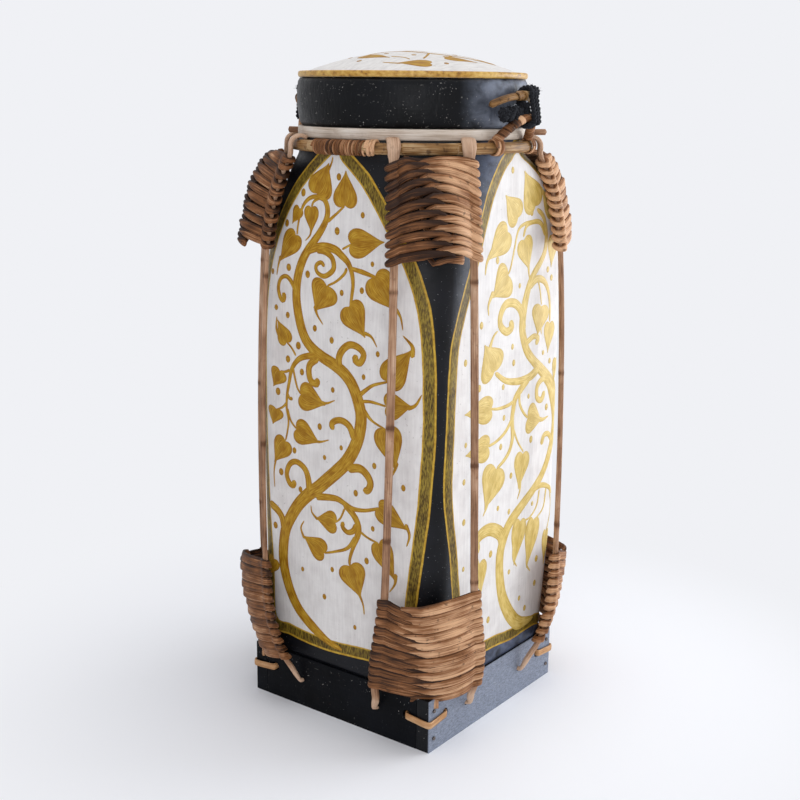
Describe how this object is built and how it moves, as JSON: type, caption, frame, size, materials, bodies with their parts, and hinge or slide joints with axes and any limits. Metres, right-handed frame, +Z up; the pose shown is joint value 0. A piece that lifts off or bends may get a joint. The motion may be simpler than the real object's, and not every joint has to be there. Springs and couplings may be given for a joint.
{
  "type": "lidded rice box",
  "caption": "Tall lacquered bamboo box, square below and round at the neck, on a board frame, with lashed corner rods and a lift-off domed lid tied on with cord.",
  "frame": {"origin": "centre of the underside of the board frame, level with the surface it stands on", "axes": "+Z up through the lid; -Y out of the front face; +X out of the right face"},
  "size_m": [0.1928, 0.1928, 0.4381],
  "materials": {
    "black_lacquer": "satin",
    "painted_body": "satin",
    "painted_lid": "satin",
    "gold_paint": "satin",
    "bare_bamboo": "matte",
    "golden_cane": "satin",
    "rod_rattan": "satin",
    "brown_rattan": "satin",
    "pale_rattan": "satin",
    "dark_iron": "matte",
    "black_cord": "matte"
  },
  "bodies": {
    "box": {"base_board_right": "black_lacquer", "base_board_back": "black_lacquer", "base_board_left": "black_lacquer", "base_board_front": "black_lacquer", "nail_right_near_1": "dark_iron", "nail_right_near_2": "dark_iron", "nail_right_far_1": "dark_iron", "nail_right_far_2": "dark_iron", "nail_left_near_1": "dark_iron", "nail_left_near_2": "dark_iron", "nail_left_far_1": "dark_iron", "nail_left_far_2": "dark_iron", "stitch_front_right": "pale_rattan", "stitch_back_right": "pale_rattan", "stitch_back_left": "pale_rattan", "stitch_front_left": "pale_rattan", "body_shell": "painted_body", "inner_collar": "bare_bamboo", "neck_band": "bare_bamboo", "band_peg_right": "bare_bamboo", "band_peg_left": "bare_bamboo", "neck_hoop": "golden_cane", "hoop_lap_winding": "brown_rattan", "rod_front_right_front": "rod_rattan", "rod_front_right_right": "rod_rattan", "rod_back_right_right": "rod_rattan", "rod_back_right_back": "rod_rattan", "rod_back_left_back": "rod_rattan", "rod_back_left_left": "rod_rattan", "rod_front_left_left": "rod_rattan", "rod_front_left_front": "rod_rattan", "lashing_upper_front_right": "brown_rattan", "lashing_upper_back_right": "brown_rattan", "lashing_upper_back_left": "brown_rattan", "lashing_upper_front_left": "brown_rattan", "lashing_lower_front_right": "brown_rattan", "lashing_lower_back_right": "brown_rattan", "lashing_lower_back_left": "brown_rattan", "lashing_lower_front_left": "brown_rattan", "body_ear_right": "golden_cane", "body_ear_left": "golden_cane", "tie_cord_right": "black_cord", "tie_cord_left": "black_cord"},
    "lid": {"lid_wall": "black_lacquer", "lid_top": "painted_lid", "lid_rim": "gold_paint", "lid_ear_right": "golden_cane", "lid_ear_left": "golden_cane"}
  },
  "joints": [
    {"name": "lid_lift", "type": "slide", "parent": "box", "child": "lid", "axis": [0, 0, 1], "range_m": [0, 0.03], "deforming": ["tie_cord_right", "tie_cord_left"]}
  ]
}
